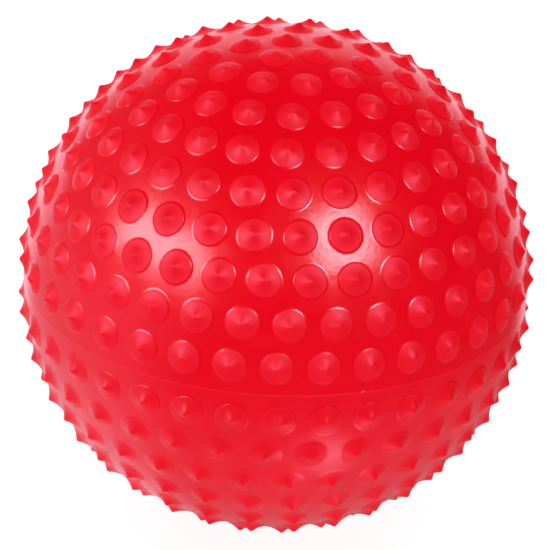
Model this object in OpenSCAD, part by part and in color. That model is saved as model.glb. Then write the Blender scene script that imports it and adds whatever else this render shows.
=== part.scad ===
// Sensory ball: a hollow moulded skin covered in rings of low cones, with a stoppered air valve at its
// foot. The origin lies under the ball's centre, on the plane of the six tips that it stands on.

/* [Ball] */
// Diameter of the skin between the cones
skin_d = 175; // [160:1:260]
// Wall of the moulded skin
skin_wall = 1.8; // [1.2:0.1:4]

/* [Cones] */
// Diameter of a cone where it leaves the skin
cone_d = 12.2; // [8:0.1:13]
// Height of a cone above the skin
cone_h = 2.5; // [1.8:0.1:4]
// Diameter of the knee, where the flared foot of a cone turns into its steep point
knee_d = 5; // [4:0.1:6]
// Height of the knee above the skin
knee_h = 0.9; // [0.7:0.05:1.1]
// Diameter of the blunt tip of a cone
tip_d = 0.8; // [0.5:0.1:1.2]
// Angle from one ring of cones to the next, in degrees
ring_step = 9.3; // [9:0.05:9.6]
// How far round the lower half is turned from the upper half, in degrees
half_turn = 13.4; // [0:0.1:60]

/* [Parting line] */
// Width of the raised line that the mould leaves round the middle
seam_w = 0.6; // [0.4:0.1:1.5]
// Height of the line above the skin
seam_h = 0.12; // [0.05:0.01:0.4]

/* [Air valve] */
// Diameter of the thick pad that the skin forms round the valve
boss_d = 21; // [19.5:0.5:30]
// Depth of the pad, from the crown of the skin inwards
boss_len = 7; // [5:0.5:14]
// Diameter of the valve insert's body
insert_d = 13; // [12.6:0.1:15]
// Diameter of the insert's inner flange
flange_d = 18; // [15:0.5:19]
// Thickness of the flange
flange_t = 1.5; // [1:0.1:3]
// Radial gap that the bond round the insert fills
bond_gap = 0.05; // [0.02:0.01:0.1]
// Bore through the insert
bore_d = 6; // [4:0.1:7]
// Radial clearance of the stopper's stem in the bore
stem_gap = 0.05; // [0.02:0.01:0.1]
// Length of the stopper's straight stem
stem_len = 8; // [6:0.5:16]
// Length of the tapered lead at the end of the stem
lead_len = 2.5; // [1:0.1:5]
// Diameter at the end of the lead
lead_d = 4; // [2:0.1:5]
// Diameter of the stopper's head
head_d = 8.4; // [8:0.1:9]
// Thickness of the head
head_t = 1.2; // [0.8:0.1:2]
// Gap round the head in its recess
head_gap = 0.35; // [0.3:0.05:0.5]
// Depth of the head below the face of the insert
head_drop = 0.15; // [0:0.05:0.4]
// Width of the nick in the recess's rim, for prising the stopper out
nick_w = 3; // [2:0.1:4]
// Reach of the nick past the rim
nick_reach = 1; // [0.6:0.1:1.2]

/* [Hidden] */

// Cones in each ring, from the pole to the ring beside the parting line
ring_counts = [1, 6, 12, 18, 23, 27, 31, 34, 35, 36];
// Start of each ring, as a share of the step between two of its cones
start_shares = [0, 0.75, 0.49, 0.22, 0.13, 0.31, 0.5, 0.76, 0.35, 0.12];
// Direction from which the rings are counted: the front of the ball
front = -90;
// How deep a cone is rooted, as a share of the wall
root_share = 0.2;
// How far a cut runs past a face
overrun = 1;
skin_facets = 200;
cone_facets = 24;
valve_facets = 64;

skin_r = skin_d / 2;
cone_r = cone_d / 2;
knee_r = knee_d / 2;
tip_edge_r = tip_d / 2;
tip_reach = skin_r + cone_h;
// The plane of the six tips round the foot, below the centre of the ball: each stands on its inner edge
rest_h = tip_reach * cos(ring_step) + tip_edge_r * sin(ring_step);

cone_foot_z = sqrt(skin_r * skin_r - cone_r * cone_r);
knee_z = skin_r + knee_h;
flare_run = (cone_r - knee_r) / (knee_z - cone_foot_z);
root_z = skin_r - root_share * skin_wall;
root_r = cone_r + flare_run * (cone_foot_z - root_z);

insert_r = insert_d / 2;
insert_bore_r = insert_r + bond_gap;
face_z = sqrt(skin_r * skin_r - insert_bore_r * insert_bore_r);
boss_end_z = skin_r - boss_len;
flange_z = boss_end_z - flange_t;
recess_depth = head_t + head_drop;
recess_r = head_d / 2 + head_gap;
recess_z = face_z - recess_depth;
stem_d = bore_d - 2 * stem_gap;

PLASTIC_RED = [0.86, 0.02, 0.06];
NATURAL_VINYL = [0.9, 0.88, 0.82];
WHITE_VINYL = [0.95, 0.95, 0.93];

// Lifts the ball's centre to where it is when the ball stands on its foot
module at_centre() {
    translate([0, 0, rest_h]) children();
}

// Turns what is drawn at the top of the ball to its foot
module at_foot() {
    at_centre() rotate([180, 0, 0]) children();
}

// One cone on the top of the ball: a flared foot with a steep point on it
module cone() {
    translate([0, 0, root_z])
        cylinder(h = knee_z - root_z, r1 = root_r, r2 = knee_r, $fn = cone_facets);
    translate([0, 0, knee_z])
        cylinder(h = tip_reach - knee_z, r1 = knee_r, r2 = tip_edge_r, $fn = cone_facets);
}

// One ring of cones, counted from the pole
module ring(i) {
    step = 360 / ring_counts[i];
    for (k = [0 : ring_counts[i] - 1])
        rotate([0, i * ring_step, front + (k + start_shares[i]) * step]) cone();
}

// The cones of one half of the ball, from the ring with the given number
module half_cones(first) {
    for (i = [first : len(ring_counts) - 1]) ring(i);
}

// The two halves of the mould are alike: the lower is the upper turned over, without its pole's cone
module all_cones() {
    half_cones(0);
    rotate(180, [cos(front + half_turn / 2), sin(front + half_turn / 2), 0]) half_cones(1);
}

module parting_line() {
    cylinder(h = seam_w, r = skin_r + seam_h, center = true, $fn = skin_facets);
}

// The air space, which the pad round the valve stands into
module hollow() {
    difference() {
        sphere(r = skin_r - skin_wall, $fn = skin_facets);
        translate([0, 0, -skin_r])
            cylinder(h = boss_len, d = boss_d, $fn = valve_facets);
    }
}

module ball_skin() {
    color(PLASTIC_RED) at_centre() difference() {
        union() {
            sphere(r = skin_r, $fn = skin_facets);
            parting_line();
            all_cones();
        }
        hollow();
        translate([0, 0, -skin_r - overrun])
            cylinder(h = boss_len + 2 * overrun, r = insert_bore_r, $fn = valve_facets);
    }
}

module valve_insert() {
    color(NATURAL_VINYL) at_foot() difference() {
        union() {
            translate([0, 0, flange_z])
                cylinder(h = flange_t, d = flange_d, $fn = valve_facets);
            translate([0, 0, flange_z])
                cylinder(h = face_z - flange_z, r = insert_r, $fn = valve_facets);
        }
        translate([0, 0, flange_z - overrun])
            cylinder(h = face_z - flange_z + 2 * overrun, d = bore_d, $fn = valve_facets);
        translate([0, 0, recess_z])
            cylinder(h = recess_depth + overrun, r = recess_r, $fn = valve_facets);
        translate([0, -nick_w / 2, recess_z])
            cube([recess_r + nick_reach, nick_w, recess_depth + overrun]);
    }
}

module valve_plug() {
    color(WHITE_VINYL) at_foot() union() {
        translate([0, 0, recess_z])
            cylinder(h = head_t, d = head_d, $fn = valve_facets);
        translate([0, 0, recess_z - stem_len])
            cylinder(h = stem_len, d = stem_d, $fn = valve_facets);
        translate([0, 0, recess_z - stem_len - lead_len])
            cylinder(h = lead_len, d1 = lead_d, d2 = stem_d, $fn = valve_facets);
    }
}

ball_skin();
valve_insert();
valve_plug();
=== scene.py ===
"""The looks of a red sensory ball: its skin with rings of low cones, its valve, the studio and the camera.

Everything is in metres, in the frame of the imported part: +Z up, the front at -Y, the floor at z = 0.
"""

import math

import bpy
import numpy as np
from mathutils import Matrix, Vector
from mathutils.geometry import delaunay_2d_cdt


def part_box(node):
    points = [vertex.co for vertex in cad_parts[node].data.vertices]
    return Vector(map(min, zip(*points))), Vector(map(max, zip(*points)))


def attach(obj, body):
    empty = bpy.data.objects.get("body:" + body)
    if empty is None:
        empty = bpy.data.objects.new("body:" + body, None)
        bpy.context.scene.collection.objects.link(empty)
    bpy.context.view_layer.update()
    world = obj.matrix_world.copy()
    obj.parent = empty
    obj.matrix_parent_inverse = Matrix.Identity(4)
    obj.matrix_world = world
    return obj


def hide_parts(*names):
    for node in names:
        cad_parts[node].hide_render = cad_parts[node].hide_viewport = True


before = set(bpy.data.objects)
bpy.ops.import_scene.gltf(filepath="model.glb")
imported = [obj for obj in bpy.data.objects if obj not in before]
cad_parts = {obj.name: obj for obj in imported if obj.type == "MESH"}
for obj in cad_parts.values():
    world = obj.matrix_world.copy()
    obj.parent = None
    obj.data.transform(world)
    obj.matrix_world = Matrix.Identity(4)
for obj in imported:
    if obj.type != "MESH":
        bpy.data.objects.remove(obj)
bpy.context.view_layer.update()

MM = 0.001
RIGHT = (1, 0, 0)
UP = (0, 0, 1)
FRONT = math.radians(-90)

# Sizes of the ball, the same as those of its solids
SKIN_R = 87.5 * MM
SKIN_WALL = 1.8 * MM
CONE_R = 6.1 * MM
CONE_H = 2.5 * MM
RING_STEP = math.radians(9.3)
HALF_TURN = math.radians(13.4)
VALVE_HOLE_R = 6.55 * MM
PAD_R = 10.5 * MM
PAD_DEPTH = 7 * MM
CENTRE = Vector((0, 0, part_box("ball_skin")[1].z - SKIN_R - CONE_H))

# Cones in each ring, from the pole to the parting line, and each ring's start as a share of its step
RING_COUNTS = [1, 6, 12, 18, 23, 27, 31, 34, 35, 36]
START_SHARES = [0, 0.75, 0.49, 0.22, 0.13, 0.31, 0.5, 0.76, 0.35, 0.12]

# The cone's profile: a small step at its rim, a flank that grows steeper inwards, and a rounded tip
RIM_POWER = 5
FOOT_SLOPE = 0.17
TIP_POWER = 3.5
TIP_R = 0.6 * MM

# Kinds of rim, each by the width and the height of its step
CRISP_RIM = (0.8 * MM, 0.11 * MM)
MILD_RIM = (0.8 * MM, 0.07 * MM)
LOW_RIM = (0.9 * MM, 0.03 * MM)
SOFT_RIM = (1.4 * MM, 0.04 * MM)

# Zones of rims from the top down, each by its lower end's height above the ball's centre, in skin radii
RIM_ZONES = [
    (0.93, LOW_RIM),
    (0.33, CRISP_RIM),
    (0, MILD_RIM),
    (-0.2, CRISP_RIM),
    (-1, SOFT_RIM),
]

# Rings of vertices: one on the skin round a cone, then shares of its rim's width, then shares of its radius
SKIRT = 0.15 * MM
RIM_SHARES = [0, 0.6, 0.88, 1]
FLANK_SHARES = [0.64, 0.42, 0.24, 0.1]
CONE_SEGMENTS = 21

# A cone counts as upright where its unit axis rises or falls by more than this
UPRIGHT = 0.999

# The parting line, with two nibs at angles from the front
SEAM_HALF_W = 0.3 * MM
SEAM_H = 0.05 * MM
NIB_TURNS = [math.radians(-4.34), math.radians(20.25)]
NIB_HEIGHTS = [0.28 * MM, 0.45 * MM]
NIB_R = 0.5 * MM

# Vertices of the parting line: rows at shares of its half width, extra columns at shares of a nib's radius
SEAM_SEGMENTS = 480
SEAM_ROWS = [2, 1, 0.67, 0.33, 0, -0.33, -0.67, -1, -2]
NIB_SHARES = [-2, -1, 0, 1, 2]

# The mesh between the cones, in the valve's hole and inside
GAP_STEP = 3 * MM
GAP_CLEAR = 0.8 * MM
ALL_TRIANGLES = 0
MERGE_DISTANCE = 1e-9
NO_LOOP = -1
HOLE_SEGMENTS = 48
LINING_ROWS = 32
SHARP_ANGLE = math.radians(50)

# Each vertex holds its distance from its cone's axis in cone radii, or a larger value off the cones
CONE_SHARE = "cone_share"
OFF_CONE = 2

# Numbers of the ball's finishes
SKIN_FINISH = 0
# The parting line's ridge has its own finish, whose paler colour is a painted highlight
SEAM_HIGHLIGHT_FINISH = 1
UPPER_FINISH = 2
LOWER_FINISH = 3

# Moulded vinyl: grains are a noise's scale and detail, and the range is where most of a noise's values lie
NOISE_RANGE = (0.3, 0.7)
TINT_GRAIN = (30, 3)
GLOSS_GRAIN = (160, 4)
GLOSS_SPREAD = 0.03
MOULD_GRAIN = (700, 3)
MOULD_STRENGTH = 0.08
MOULD_DEPTH = 0.05 * MM

# Colours of the ball. Those of the parting line are a little paler than the skin's: a painted highlight
# along its ridge and nibs.
RED_PALE = (0.9, 0.0005, 0.01)
RED_DEEP = (0.86, 0, 0.008)
SEAM_HIGHLIGHT_PALE = (0.91, 0.009, 0.022)
SEAM_HIGHLIGHT_DEEP = (0.88, 0.003, 0.013)
SHEEN = 0.3
SHEEN_ROUGHNESS = 0.4
SHEEN_TINT = (1, 0.06, 0.1, 1)

# Gloss of the ball: roughness, strength and tint
SKIN_GLOSS = (0.22, 0.8, (1, 0.68, 1, 1))
UPPER_GLOSS = (0.52, 0.55, (1, 0.5, 1, 1))
LOWER_GLOSS = (0.36, 0.7, (1, 0.6, 1, 1))

# Waves of the skin, and grooves on the cones that fade out towards the tip
WAVE_GRAIN = (600, 2)
WAVE_DEPTH = 0.05 * MM
GROOVE_PITCH = 0.6 * MM
GROOVE_DEPTH = 0.01 * MM
GROOVE_FADE = (0.4, 0.8)

# Finishes of the valve: pale colour, deep colour and roughness
NATURAL_FINISH = ((0.8, 0.76, 0.68), (0.74, 0.7, 0.6), 0.4)
WHITE_FINISH = ((0.86, 0.86, 0.83), (0.8, 0.8, 0.77), 0.35)

# The photograph's view, in its own pixels, and one of them at the ball's centre in metres
FRAME_PX = 550
SKIN_R_PX = 250.8
CENTRE_PX = (275.6, 274.6)
PX = SKIN_R / SKIN_R_PX
VIEW_ELEVATION = math.radians(26.3)
VIEW_ROLL = math.radians(2.85)
VIEW_DISTANCE = 10.9 * SKIN_R
SENSOR_MM = 36

# The floor: its grey to soft light, and the grey and the glow that show to the camera
FLOOR_SIZE = 8
FLOOR_DROP = 0.1 * MM
FLOOR_GREY = 0.3
SHOWN_GREY = 0.22
SHOWN_GLOW = 0.91

# The floor as the ball mirrors it: directions and places, ends of the fades, and the levels they reach
BACK = (0, 1, 0)
BACK_FADE = (0.45, 0.75)
BACK_LEVEL = 0.9
PALE_SIDE = (-0.75, 0.65, 0)
SIDE_FADE = (-0.25, 0.45)
SIDE_LEVEL = 0.5
NEAR_FADE = (0.3, 0.08)
NEAR_LEVEL = 0.34
PATCH = (0.045, -0.113, 0)
PATCH_FADE = (0.035, 0)
PATCH_LEVEL = 2.1

# The room as the ball mirrors it, and the white that the camera sees
WALL_TINT = (1, 0.9, 1, 1)
ROOM_LEVEL = 0.01
BACK_WALL_FADE = (0.75, 1)
BACK_WALL_LEVEL = 1
LEFT_WALL_FADE = (-0.3, -1)
LEFT_WALL_LEVEL = 0.18
WHITE = (1, 1, 1, 1)
WHITE_LEVEL = 1

# Softboxes: name, degrees round from the front, degrees above the floor, width, height and radiance
SOFTBOXES = [
    ("left_softbox", -59, 25, 0.9, 0.28, 9),
    ("left_halo", -59, 25, 1.0, 0.42, 5.1),
    ("right_softbox", 36, 38.7, 0.26, 0.26, 16),
    ("right_halo", 36, 38.7, 0.5, 0.5, 9.5),
]
SOFTBOX_TINT = (1, 1, 0.77)
LAMP_DISTANCE = 1.2

# Fill lights: name, degrees round from the front, degrees above the floor, and strength in units of pi
FILLS = [
    ("left_fill", -50, 30, 0.54),
    ("right_fill", 45, 30, 0.31),
    ("back_fill", 175, 30, 0.64),
    ("low_fill", 25, -60, 0.42),
]
FILL_ANGLE = math.radians(150)


def direction(polar, azimuth):
    """Unit vector at an angle from the pole and round it."""
    level = math.sin(polar)
    return np.array([level * math.cos(azimuth), level * math.sin(azimuth), math.cos(polar)])


def even_turn(segments):
    """Angles of vertices that are spaced evenly round a ring."""
    return np.arange(segments) * math.tau / segments


def level_ring(radius, z, turn):
    """Points of a level ring at the given angles, with one radius or a radius for each point."""
    return np.stack([radius * np.cos(turn), radius * np.sin(turn), np.full(len(turn), z)], axis=1)


def half_cones(first):
    """Directions of the upper half's cones, from the ring with the given number down to the last."""
    for ring in range(first, len(RING_COUNTS)):
        step = math.tau / RING_COUNTS[ring]
        for k in range(RING_COUNTS[ring]):
            yield direction(ring * RING_STEP, FRONT + (k + START_SHARES[ring]) * step)


def lower_cones():
    """The lower half is the upper turned over about a level axis, without its pole's cone."""
    axis = direction(math.pi / 2, FRONT + HALF_TURN / 2)
    for outward in half_cones(1):
        yield 2 * np.dot(outward, axis) * axis - outward


def rim_at(height):
    """The rim of a cone that stands at a height above the ball's centre, in skin radii."""
    return next(rim for lower_end, rim in RIM_ZONES if height > lower_end)


def cone_height(r, rim):
    """Height of a cone above the skin, at a distance from its axis."""
    rim_w, rim_h = rim
    top = 1 - TIP_R / CONE_R
    steep_h = (CONE_H - rim_h - FOOT_SLOPE * CONE_R * top) / top**TIP_POWER
    inward = max(0, 1 - math.hypot(r, TIP_R) / CONE_R)
    step = min(1, max(0, (CONE_R - r) / rim_w))
    return rim_h * step**RIM_POWER + FOOT_SLOPE * CONE_R * inward + steep_h * inward**TIP_POWER


def cone_stations(rim):
    """Distances from the cone's axis at which its rings of vertices lie, from the skin inwards."""
    rim_w, _ = rim
    across_rim = [CONE_R - share * rim_w for share in RIM_SHARES]
    up_flank = [share * CONE_R for share in FLANK_SHARES]
    return [CONE_R + SKIRT] + across_rim + up_flank


class Shell:
    """Vertices and faces of the skin as they are gathered, and the rings that are to stay sharp."""

    def __init__(self):
        self.points = []
        self.shares = []
        self.faces = []
        self.finishes = []
        self.crests = []

    def add_points(self, points, cone_share=OFF_CONE):
        """Adds points and gives their numbers."""
        numbers = np.arange(len(self.shares), len(self.shares) + len(points))
        self.points.append(np.asarray(points, float))
        self.shares.extend([cone_share] * len(points))
        return numbers

    def add_faces(self, faces, finish=SKIN_FINISH):
        """Adds faces, each by the numbers of its corners."""
        self.faces.extend(faces)
        self.finishes.extend([finish] * len(faces))

    def band(self, outer, inner, finish=SKIN_FINISH):
        """Quads between two closed rings of as many vertices, counter-clockwise as seen from outside."""
        corners = [outer, np.roll(outer, -1), np.roll(inner, -1), inner]
        self.add_faces(np.stack(corners, axis=1).tolist(), finish)

    def fan(self, ring, middle, finish=SKIN_FINISH):
        """Triangles from a closed ring to the vertex in its middle."""
        corners = [ring, np.roll(ring, -1), np.full(len(ring), middle)]
        self.add_faces(np.stack(corners, axis=1).tolist(), finish)

    def sharpen(self, mesh):
        """Shades the mesh smooth, but for its steep edges and the crests of the crisp rims."""
        mesh.shade_smooth()
        mesh.set_sharp_from_angle(angle=SHARP_ANGLE)
        sharp = np.empty(len(mesh.edges), bool)
        mesh.edges.foreach_get("use_edge_sharp", sharp)
        ends = np.empty(2 * len(mesh.edges), np.int32)
        mesh.edges.foreach_get("vertices", ends)
        on_crest = np.zeros(len(self.shares), bool)
        on_crest[np.concatenate(self.crests)] = True
        sharp |= on_crest[ends.reshape(-1, 2)].all(axis=1)
        mesh.edges.foreach_set("use_edge_sharp", sharp)

    def mesh(self, name):
        """The mesh of all that was gathered."""
        mesh = bpy.data.meshes.new(name)
        mesh.from_pydata(np.concatenate(self.points).tolist(), [], self.faces)
        mesh.attributes.new(CONE_SHARE, "FLOAT", "POINT").data.foreach_set("value", self.shares)
        mesh.polygons.foreach_set("material_index", self.finishes)
        self.sharpen(mesh)
        return mesh


def cone_patch(shell, axis, rim, finish):
    """One cone as rings of vertices round its axis. Gives the numbers of the outermost ring."""
    is_upright = abs(axis[2]) > UPRIGHT
    level = np.array(RIGHT, float) if is_upright else np.cross(UP, axis)
    level /= np.linalg.norm(level)
    upward = np.cross(axis, level)
    turn = even_turn(CONE_SEGMENTS)
    spokes = np.outer(np.cos(turn), level) + np.outer(np.sin(turn), upward)
    rings = []
    for r in cone_stations(rim):
        angle = r / SKIN_R
        ring = (SKIN_R + cone_height(r, rim)) * (math.cos(angle) * axis + math.sin(angle) * spokes)
        rings.append(shell.add_points(ring, r / CONE_R))
    crest = len(RIM_SHARES)
    if rim == CRISP_RIM:
        shell.crests.append(rings[crest])
    for k, (outer, inner) in enumerate(zip(rings, rings[1:])):
        shell.band(outer, inner, SKIN_FINISH if k < crest else finish)
    tip = shell.add_points([(SKIN_R + cone_height(0, rim)) * axis], 0)
    shell.fan(rings[-1], tip[0], finish)
    return rings[0]


def gap_points(axes, side):
    """Points spread over one half of the skin, clear of the cones, the parting line and the valve."""
    axes = np.array(axes)
    cone_reach = math.cos((CONE_R + SKIRT + GAP_CLEAR) / SKIN_R)
    seam_reach = SEAM_ROWS[0] * SEAM_HALF_W
    rows = int(SKIN_R * math.pi / 2 / GAP_STEP)
    found = []
    for row in range(1, rows):
        polar = row * GAP_STEP / SKIN_R
        if SKIN_R * math.sin(polar) < VALVE_HOLE_R + GAP_CLEAR:
            continue
        if SKIN_R * math.cos(polar) < seam_reach + GAP_CLEAR:
            continue
        count = max(1, round(math.tau * SKIN_R * math.sin(polar) / GAP_STEP))
        offset = row % 2 / 2
        for k in range(count):
            outward = direction(polar, (k + offset) * math.tau / count) * [1, 1, side]
            if np.max(axes @ outward) < cone_reach:
                found.append(SKIN_R * outward)
    return found


def fill_between(shell, loops, loose, side):
    """Fills one half of the skin with triangles, from its edge, the first loop, to the other loops.

    The loose vertices lie between the loops. The insides of all loops but the first stay open.
    """
    numbers = np.concatenate([*loops, loose])
    points = np.concatenate(shell.points)[numbers]
    # Seen from the far pole, the half lies flat in the circle of its edge
    flat = points[:, :2] / (SKIN_R + side * points[:, 2:])
    owners = [np.full(len(loop), i) for i, loop in enumerate(loops)]
    owners.append(np.full(len(loose), NO_LOOP))
    owner = np.concatenate(owners)
    edges = []
    start = 0
    for loop in loops:
        places = np.arange(start, start + len(loop))
        edges.extend(zip(places.tolist(), np.roll(places, -1).tolist()))
        start += len(loop)
    flat_points = [Vector(p) for p in flat]
    filled = delaunay_2d_cdt(flat_points, edges, [], ALL_TRIANGLES, MERGE_DISTANCE)
    _, _, faces, sources, _, _ = filled
    for face in faces:
        corners = [sources[v][0] for v in face]
        loop = owner[corners[0]]
        if loop > 0 and all(owner[c] == loop for c in corners):
            continue
        face_numbers = [int(numbers[c]) for c in corners]
        shell.add_faces([face_numbers if side > 0 else face_numbers[::-1]])


def seam_band(shell):
    """The parting line: a low ridge round the middle with two nibs. Gives the numbers of its two edges."""
    even = even_turn(SEAM_SEGMENTS) - math.pi
    dense = [FRONT + nib + share * NIB_R / SKIN_R for nib in NIB_TURNS for share in NIB_SHARES]
    turn = np.sort(np.concatenate([even, dense]))
    height = np.full(len(turn), SEAM_H)
    for nib, nib_h in zip(NIB_TURNS, NIB_HEIGHTS):
        away = SKIN_R * (turn - FRONT - nib)
        height += nib_h * np.exp(-((away / NIB_R) ** 2))
    rings = []
    for across in SEAM_ROWS:
        z = across * SEAM_HALF_W
        ridge = height * (1 + math.cos(math.pi * min(1, abs(across)))) / 2
        radius = math.sqrt(SKIN_R**2 - z**2) + ridge
        rings.append(shell.add_points(level_ring(radius, z, turn)))
    for upper, lower, above, below in zip(rings, rings[1:], SEAM_ROWS, SEAM_ROWS[1:]):
        # Faces on the ridge and nibs take the parting line's vinyl, whose paler colour is a painted
        # highlight
        on_line = abs(above) <= 1 and abs(below) <= 1
        shell.band(lower, upper, SEAM_HIGHLIGHT_FINISH if on_line else SKIN_FINISH)
    return rings[0], rings[-1]


def lining(shell, mouth):
    """The wall of the valve's hole, the pad round it and the inside of the skin, from the mouth up."""
    inner_r = SKIN_R - SKIN_WALL
    pad_z = PAD_DEPTH - SKIN_R
    profile = [(VALVE_HOLE_R, pad_z), (PAD_R, pad_z)]
    start = math.asin(PAD_R / inner_r)
    for row in range(LINING_ROWS):
        angle = start + (math.pi - start) * row / LINING_ROWS
        profile.append((inner_r * math.sin(angle), -inner_r * math.cos(angle)))
    ring = mouth
    for radius, z in profile:
        after = shell.add_points(level_ring(radius, z, even_turn(HOLE_SEGMENTS)))
        shell.band(after, ring)
        ring = after
    top = shell.add_points([(0, 0, inner_r)])
    shell.fan(ring[::-1], top[0])


def ball_mesh():
    """The whole skin: both halves with their cones, the parting line between them, and the lining."""
    shell = Shell()
    upper_edge, lower_edge = seam_band(shell)
    upper = (1, upper_edge, list(half_cones(0)), UPPER_FINISH)
    lower = (-1, lower_edge, list(lower_cones()), LOWER_FINISH)
    for side, edge, axes, finish in (upper, lower):
        loops = [edge] + [cone_patch(shell, axis, rim_at(axis[2]), finish) for axis in axes]
        if side < 0:
            mouth_z = -math.sqrt(SKIN_R**2 - VALVE_HOLE_R**2)
            mouth = shell.add_points(level_ring(VALVE_HOLE_R, mouth_z, even_turn(HOLE_SEGMENTS)))
            loops.append(mouth)
        loose = shell.add_points(gap_points(axes, side))
        fill_between(shell, loops, loose, side)
    lining(shell, mouth)
    mesh = shell.mesh("ball_surface")
    mesh.transform(Matrix.Translation(CENTRE))
    return mesh


class Graph:
    """The nodes of a material or of the world, with short ways to add to them."""

    def __init__(self, owner):
        owner.use_nodes = True
        self.nodes = owner.node_tree.nodes
        self.links = owner.node_tree.links

    def feed(self, node, inputs):
        """Fills inputs of a node, each from another node's output or with a plain value."""
        for name, source in inputs.items():
            if isinstance(source, bpy.types.NodeSocket):
                self.links.new(source, node.inputs[name])
            else:
                node.inputs[name].default_value = source

    def add(self, kind, inputs, **settings):
        """Adds a node with its settings and inputs, and gives its outputs."""
        node = self.nodes.new(kind)
        for name, value in settings.items():
            setattr(node, name, value)
        self.feed(node, inputs)
        return node.outputs

    def surface(self):
        """The shader that a new material comes with."""
        return self.nodes["Principled BSDF"]

    def place(self):
        """The point that is shaded, in the object's own axes."""
        return self.add("ShaderNodeTexCoord", {})["Object"]

    def noise(self, grain):
        """Clouds that are fixed to the object. At a scale of n they are about 1 / n metres wide."""
        scale, detail = grain
        inputs = {"Vector": self.place(), "Scale": scale, "Detail": detail}
        return self.add("ShaderNodeTexNoise", inputs)["Fac"]

    def spread(self, noise, low, high):
        """Turns a noise into a value from low to high."""
        start, end = NOISE_RANGE
        inputs = {"Value": noise, "From Min": start, "From Max": end, "To Min": low, "To Max": high}
        return self.add("ShaderNodeMapRange", inputs)["Result"]

    def fade(self, value, ends, level=1):
        """Goes smoothly from nothing to a level while a value goes from one end to the other."""
        start, end = ends
        inputs = {"Value": value, "From Min": start, "From Max": end, "To Max": level}
        return self.add("ShaderNodeMapRange", inputs, interpolation_type="SMOOTHSTEP")["Result"]

    def total(self, first, second):
        """The sum of two values."""
        return self.add("ShaderNodeMath", {0: first, 1: second}, operation="ADD")[0]

    def vector_math(self, operation, *vectors):
        """What an operation makes of one vector or two."""
        return self.add("ShaderNodeVectorMath", dict(enumerate(vectors)), operation=operation)

    def mixed(self, factor, first, second):
        """The first shader where the factor is 0, and the second where it is 1."""
        return self.add("ShaderNodeMixShader", {"Fac": factor, 1: first, 2: second})[0]

    def emboss(self, inputs):
        """Adds a bump to the surface, on top of those that it has."""
        normal = self.surface().inputs["Normal"]
        under = {"Normal": link.from_socket for link in normal.links}
        bump = self.add("ShaderNodeBump", {**inputs, **under})
        self.feed(self.surface(), {"Normal": bump["Normal"]})


def vinyl(name, pale, deep, roughness):
    """Moulded soft vinyl: a colour with faint clouds in it, an uneven gloss and the grain of the mould."""
    material = bpy.data.materials.new(name)
    graph = Graph(material)
    clouds = graph.spread(graph.noise(TINT_GRAIN), 0, 1)
    colours = {"Factor": clouds, "A": (*deep, 1), "B": (*pale, 1)}
    colour = graph.add("ShaderNodeMix", colours, data_type="RGBA")["Result"]
    gloss = graph.spread(graph.noise(GLOSS_GRAIN), roughness - GLOSS_SPREAD, roughness + GLOSS_SPREAD)
    graph.feed(graph.surface(), {"Base Color": colour, "Roughness": gloss})
    height = graph.noise(MOULD_GRAIN)
    graph.emboss({"Strength": MOULD_STRENGTH, "Distance": MOULD_DEPTH, "Height": height})
    return material


def red_vinyl(name, gloss, pale=RED_PALE, deep=RED_DEEP):
    """The ball's vinyl, with a tinted gloss and a faint red sheen."""
    roughness, strength, tint = gloss
    material = vinyl(name, pale, deep, roughness)
    graph = Graph(material)
    inputs = {
        "Specular IOR Level": strength,
        "Specular Tint": tint,
        "Sheen Weight": SHEEN,
        "Sheen Roughness": SHEEN_ROUGHNESS,
        "Sheen Tint": SHEEN_TINT,
    }
    graph.feed(graph.surface(), inputs)
    return material


def skin_vinyl():
    """The skin is polished, but not quite even: the mould's wall leaves faint waves in its gloss."""
    material = red_vinyl("red_vinyl_skin", SKIN_GLOSS)
    graph = Graph(material)
    graph.emboss({"Distance": WAVE_DEPTH, "Height": graph.noise(WAVE_GRAIN)})
    return material


def cone_vinyl(name, gloss):
    """The cones are duller than the skin, with the fine rings that the cutter left in the mould."""
    material = red_vinyl(name, gloss)
    graph = Graph(material)
    share = graph.add("ShaderNodeAttribute", {}, attribute_name=CONE_SHARE)["Fac"]
    phase = {0: share, 1: math.tau * CONE_R / GROOVE_PITCH}
    angle = graph.add("ShaderNodeMath", phase, operation="MULTIPLY")[0]
    wave = graph.add("ShaderNodeMath", {0: angle}, operation="SINE")[0]
    graph.emboss({"Strength": graph.fade(share, GROOVE_FADE), "Distance": GROOVE_DEPTH, "Height": wave})
    return material


def mirrored_floor(graph):
    """The floor as the ball mirrors it: pale behind, on the left and close by, with a bright patch."""
    place = graph.place()
    heading = graph.vector_math("NORMALIZE", place)["Vector"]
    to_back = graph.vector_math("DOT_PRODUCT", heading, BACK)["Value"]
    to_side = graph.vector_math("DOT_PRODUCT", heading, PALE_SIDE)["Value"]
    from_foot = graph.vector_math("LENGTH", place)["Value"]
    from_patch = graph.vector_math("DISTANCE", place, PATCH)["Value"]
    side = graph.fade(to_side, SIDE_FADE, SIDE_LEVEL)
    back = graph.fade(to_back, BACK_FADE, BACK_LEVEL)
    near = graph.fade(from_foot, NEAR_FADE, NEAR_LEVEL)
    patch = graph.fade(from_patch, PATCH_FADE, PATCH_LEVEL)
    level = graph.total(graph.total(side, back), graph.total(near, patch))
    return graph.add("ShaderNodeEmission", {"Color": WALL_TINT, "Strength": level})[0]


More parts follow.
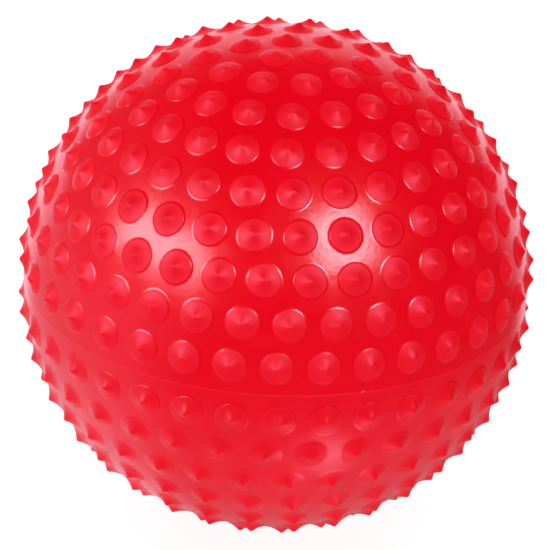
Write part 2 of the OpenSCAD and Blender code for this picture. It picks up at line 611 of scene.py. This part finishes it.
def floor_material():
    """White to the camera, with a faint shadow. From below, the floor is clear."""
    material = bpy.data.materials.new("floor")
    graph = Graph(material)
    graph.nodes.remove(graph.surface())

    def matt(grey):
        return graph.add("ShaderNodeBsdfDiffuse", {"Color": (grey, grey, grey, 1)})[0]

    glow = graph.add("ShaderNodeEmission", {"Strength": SHOWN_GLOW})[0]
    shown = graph.add("ShaderNodeAddShader", {0: matt(SHOWN_GREY), 1: glow})[0]
    path = graph.add("ShaderNodeLightPath", {})
    unseen = graph.mixed(path["Is Glossy Ray"], matt(FLOOR_GREY), mirrored_floor(graph))
    above = graph.mixed(path["Is Camera Ray"], unseen, shown)
    clear = graph.add("ShaderNodeBsdfTransparent", {})[0]
    from_below = graph.add("ShaderNodeNewGeometry", {})["Backfacing"]
    graph.feed(graph.nodes["Material Output"], {"Surface": graph.mixed(from_below, above, clear)})
    return material


def make_floor():
    """A square floor, a hair below the tips that the ball stands on."""
    half = FLOOR_SIZE / 2
    corners = [(-half, -half, 0), (half, -half, 0), (half, half, 0), (-half, half, 0)]
    mesh = bpy.data.meshes.new("floor")
    mesh.from_pydata(corners, [], [(0, 1, 2, 3)])
    mesh.materials.append(floor_material())
    floor = bpy.data.objects.new("floor", mesh)
    floor.location.z = -FLOOR_DROP
    # The low fill light comes from below the floor
    floor.visible_shadow = False
    bpy.context.scene.collection.objects.link(floor)


def make_world():
    """White to the camera. To the ball, a dark room with a white wall behind and a pale one on the left."""
    world = bpy.data.worlds.new("studio")
    bpy.context.scene.world = world
    graph = Graph(world)
    graph.nodes.clear()
    heading = graph.add("ShaderNodeTexCoord", {})["Generated"]
    split = graph.add("ShaderNodeSeparateXYZ", {"Vector": heading})
    back_wall = graph.fade(split["Y"], BACK_WALL_FADE, BACK_WALL_LEVEL)
    left_wall = graph.fade(split["X"], LEFT_WALL_FADE, LEFT_WALL_LEVEL)
    level = graph.total(graph.total(back_wall, left_wall), ROOM_LEVEL)
    room = graph.add("ShaderNodeBackground", {"Color": WALL_TINT, "Strength": level})[0]
    white = graph.add("ShaderNodeBackground", {"Color": WHITE, "Strength": WHITE_LEVEL})[0]
    to_camera = graph.add("ShaderNodeLightPath", {})["Is Camera Ray"]
    graph.add("ShaderNodeOutputWorld", {"Surface": graph.mixed(to_camera, room, white)})


def place_lamp(name, lamp, azimuth, elevation):
    """Turns a lamp to the ball, from an angle round from the front and one above the floor, in degrees."""
    holder = bpy.data.objects.new(name, lamp)
    bpy.context.scene.collection.objects.link(holder)
    away = Vector(direction(math.radians(90 - elevation), FRONT + math.radians(azimuth)))
    holder.location = CENTRE + LAMP_DISTANCE * away
    holder.rotation_euler = away.to_track_quat("Z", "Y").to_euler()
    return holder


def softbox(name, azimuth, elevation, width, height, radiance):
    """A rectangular lamp that shows only in the gloss."""
    lamp = bpy.data.lights.new(name, "AREA")
    lamp.shape = "RECTANGLE"
    lamp.size = width
    lamp.size_y = height
    lamp.energy = radiance * math.pi * width * height
    lamp.color = SOFTBOX_TINT
    box = place_lamp(name, lamp, azimuth, elevation)
    box.visible_camera = False
    box.visible_diffuse = False


def fill_light(name, azimuth, elevation, level):
    """Soft light from all round one side, without a highlight of its own."""
    lamp = bpy.data.lights.new(name, "SUN")
    lamp.angle = FILL_ANGLE
    lamp.energy = level * math.pi
    lamp.cycles.use_multiple_importance_sampling = False
    place_lamp(name, lamp, azimuth, elevation).visible_glossy = False


def make_camera():
    """The photograph's view: the ball's centre, its size and the lean of its pole are as measured there."""
    data = bpy.data.cameras.new("camera")
    data.sensor_width = SENSOR_MM
    data.lens = SENSOR_MM * VIEW_DISTANCE / (FRAME_PX * PX)
    back = Vector((0, -math.cos(VIEW_ELEVATION), math.sin(VIEW_ELEVATION)))
    level = Vector(RIGHT)
    upward = back.cross(level)
    right = math.cos(VIEW_ROLL) * level + math.sin(VIEW_ROLL) * upward
    up = back.cross(right)
    aim = (FRAME_PX / 2 - CENTRE_PX[0]) * PX * right + (CENTRE_PX[1] - FRAME_PX / 2) * PX * up
    camera = bpy.data.objects.new("camera", data)
    camera.matrix_world = Matrix((right, up, back)).transposed().to_4x4()
    camera.location = CENTRE + VIEW_DISTANCE * back + aim
    bpy.context.scene.collection.objects.link(camera)
    bpy.context.scene.camera = camera


def make_ball():
    """The skin's surface, with its finishes in the order of their numbers."""
    ball = bpy.data.objects.new("ball_surface", ball_mesh())
    finishes = ball.data.materials
    finishes.append(skin_vinyl())
    # The parting line's vinyl is paler than the skin's: a painted highlight along its ridge and nibs
    finishes.append(red_vinyl("red_vinyl_seam_highlight", SKIN_GLOSS, SEAM_HIGHLIGHT_PALE, SEAM_HIGHLIGHT_DEEP))
    finishes.append(cone_vinyl("red_vinyl_upper", UPPER_GLOSS))
    finishes.append(cone_vinyl("red_vinyl_lower", LOWER_GLOSS))
    bpy.context.scene.collection.objects.link(ball)
    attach(ball, "ball")
    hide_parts("ball_skin")


def dress(node, material):
    """Gives a solid of the frame its finish."""
    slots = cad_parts[node].data.materials
    slots.clear()
    slots.append(material)


make_ball()
dress("valve_insert", vinyl("natural_vinyl", *NATURAL_FINISH))
dress("valve_plug", vinyl("white_vinyl", *WHITE_FINISH))

make_floor()
make_world()
for box in SOFTBOXES:
    softbox(*box)
for fill in FILLS:
    fill_light(*fill)
make_camera()

bpy.context.scene.view_settings.view_transform = "Standard"
